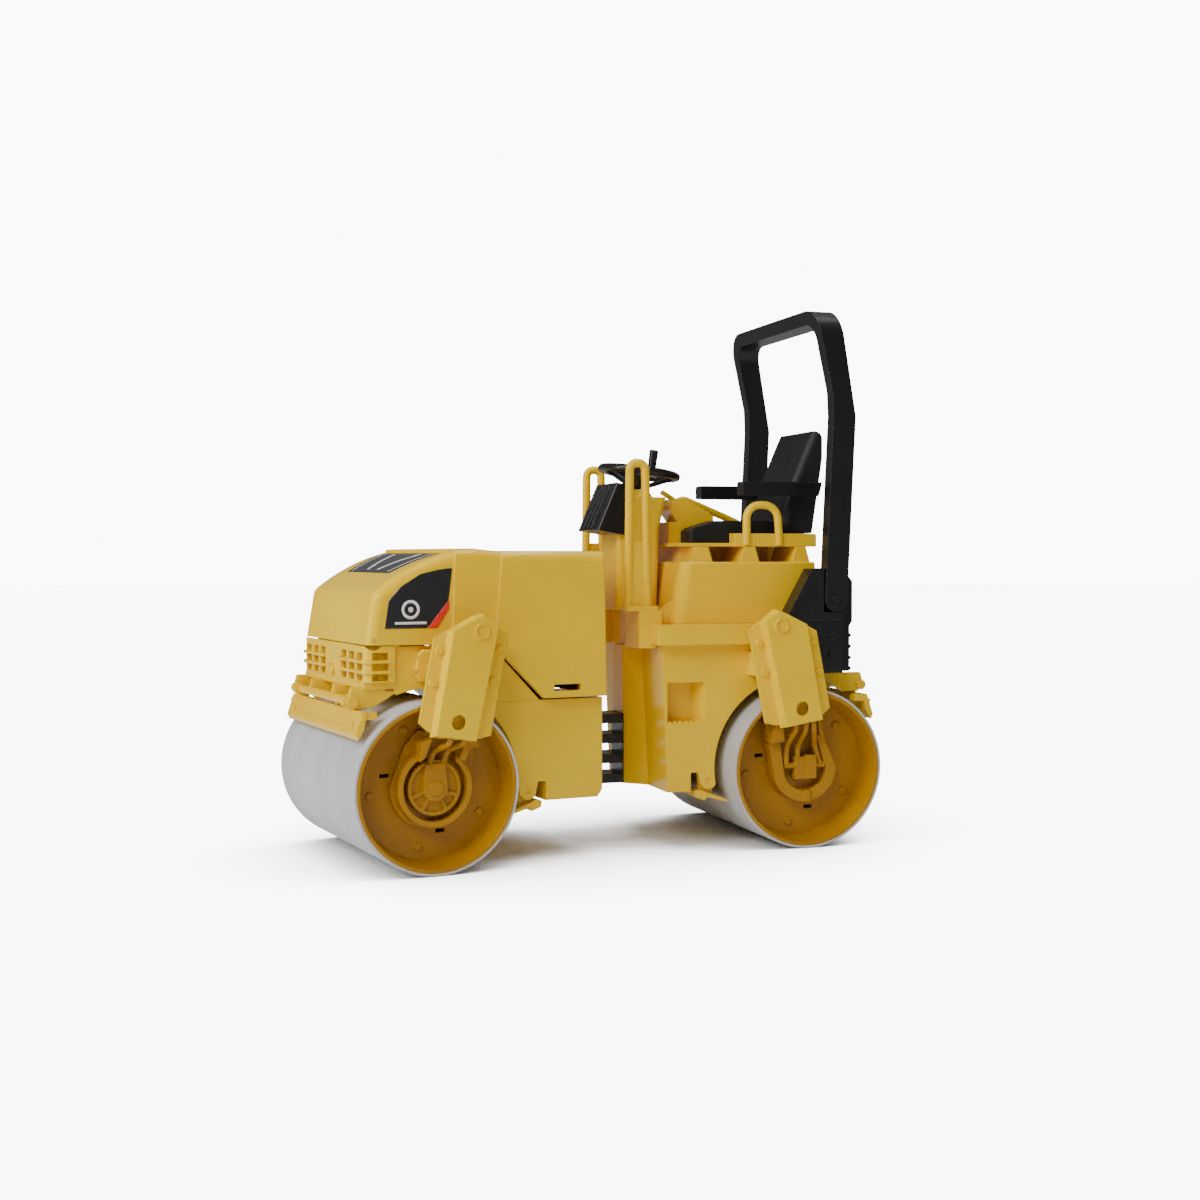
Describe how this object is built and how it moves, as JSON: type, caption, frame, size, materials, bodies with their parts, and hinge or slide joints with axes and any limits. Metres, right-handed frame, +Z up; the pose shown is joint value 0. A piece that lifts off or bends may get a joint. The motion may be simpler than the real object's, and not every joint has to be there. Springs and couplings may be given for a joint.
{
  "type": "toy road roller",
  "caption": "Toy tandem road roller with smooth drums, pin steering, opening hood, folding roll hoop, sliding seat and scrapers.",
  "frame": {"origin": "on the floor, on the axis of the steering pin", "axes": "+X to the roller's left, +Y to its rear, +Z up"},
  "size_m": [0.1508, 0.2827, 0.264],
  "materials": {
    "yellow": "satin, moulded warm yellow",
    "black": "satin black",
    "grey": "light grey, fine grain",
    "steel": "bare pin",
    "dark": "dark moulded plastic"
  },
  "bodies": {
    "rear_half": {"rear_chassis": "yellow", "platform_deck": "yellow", "seat_pedestal": "yellow", "handrail_left": "yellow", "handrail_right": "yellow", "steering_column": "yellow", "dash_cover": "black", "side_plate_left": "black", "side_plate_right": "black", "rear_cover": "black", "hoop_pins": "black", "rear_arm_left": "yellow", "rear_arm_right": "yellow", "rear_arm_bolts": "yellow", "rear_fork_yoke": "yellow", "rear_ring_yoke": "yellow", "rear_drum_motor": "yellow", "rear_hub_cap": "yellow", "rear_scraper_rod": "yellow", "rear_lower_pins": "yellow", "rear_joint_bracket": "black", "steering_pin": "steel", "rear_axle": "steel"},
    "front_half": {"front_chassis": "yellow", "front_deck": "yellow", "hood_pins": "yellow", "grille": "yellow", "engine_block": "dark", "hose_covers": "yellow", "front_arm_left": "yellow", "front_arm_right": "yellow", "front_arm_bolts": "yellow", "front_fork_yoke": "yellow", "front_ring_yoke": "yellow", "front_drum_motor": "yellow", "front_hub_cap": "yellow", "front_scraper_rod": "yellow", "front_lower_pins": "yellow", "front_joint_bracket": "black", "front_axle": "steel"},
    "front_drum": {"front_drum_skin": "grey", "front_drum_cap_left": "yellow", "front_drum_cap_right": "yellow"},
    "rear_drum": {"rear_drum_skin": "grey", "rear_drum_cap_left": "yellow", "rear_drum_cap_right": "yellow"},
    "hood": {"hood_shell": "yellow"},
    "hoop": {"roll_hoop": "black"},
    "seat": {"seat_tray": "yellow", "seat_cushion": "black", "seat_back": "black", "guard_rail": "yellow", "lever_box": "yellow"},
    "left_armrest": {"armrest_left": "black"},
    "right_armrest": {"armrest_right": "black"},
    "wheel": {"steering_wheel": "black"},
    "upper_scraper_rear": {"rear_upper_scraper": "yellow"},
    "upper_scraper_front": {"front_upper_scraper": "yellow"},
    "lower_scraper_rear": {"rear_lower_scraper": "yellow"},
    "lower_scraper_front": {"front_lower_scraper": "yellow"}
  },
  "joints": [
    {"name": "steering", "type": "hinge", "parent": "rear_half", "child": "front_half", "pos_m": [0, 0, 0.046], "axis": [0, 0, 1], "range_deg": [-38.8, 21.2]},
    {"name": "front_roll", "type": "hinge", "parent": "front_half", "child": "front_drum", "pos_m": [0.01512, -0.09743, 0.039], "axis": [0.9882, 0.1533, 0], "continuous": true},
    {"name": "rear_roll", "type": "hinge", "parent": "rear_half", "child": "rear_drum", "pos_m": [0, 0.0986, 0.039], "axis": [1, 0, 0], "continuous": true},
    {"name": "hood_hinge", "type": "hinge", "parent": "front_half", "child": "hood", "pos_m": [0.01911, -0.12313, 0.105], "axis": [0.9882, 0.1533, 0], "range_deg": [0, 60]},
    {"name": "hoop_fold", "type": "hinge", "parent": "rear_half", "child": "hoop", "pos_m": [0, 0.1146, 0.1215], "axis": [1, 0, 0], "range_deg": [-90, 0]},
    {"name": "seat_slide", "type": "slide", "parent": "rear_half", "child": "seat", "axis": [0, 1, 0], "range_m": [-0.002, 0.01]},
    {"name": "left_armrest_hinge", "type": "hinge", "parent": "seat", "child": "left_armrest", "pos_m": [0.026, 0.1115, 0.1765], "axis": [1, 0, 0], "range_deg": [-90, 0]},
    {"name": "right_armrest_hinge", "type": "hinge", "parent": "seat", "child": "right_armrest", "pos_m": [-0.026, 0.1115, 0.1765], "axis": [1, 0, 0], "range_deg": [-90, 0]},
    {"name": "wheel_spin", "type": "hinge", "parent": "rear_half", "child": "wheel", "pos_m": [0, 0.0313, 0.185], "axis": [0, 0.1305, 0.9914], "continuous": true},
    {"name": "rear_upper_swing", "type": "hinge", "parent": "rear_half", "child": "upper_scraper_rear", "pos_m": [0, 0.1336, 0.0782], "axis": [1, 0, 0], "range_deg": [0, 25]},
    {"name": "rear_lower_swing", "type": "hinge", "parent": "rear_half", "child": "lower_scraper_rear", "pos_m": [0, 0.0515, 0.0332], "axis": [1, 0, 0], "range_deg": [-15, 0]},
    {"name": "front_upper_swing", "type": "hinge", "parent": "front_half", "child": "upper_scraper_front", "pos_m": [0.02048, -0.13202, 0.0782], "axis": [0.9882, 0.1533, 0], "range_deg": [-25, 0]},
    {"name": "front_lower_swing", "type": "hinge", "parent": "front_half", "child": "lower_scraper_front", "pos_m": [0.00753, -0.04852, 0.0332], "axis": [0.9882, 0.1533, 0], "range_deg": [0, 15]}
  ]
}
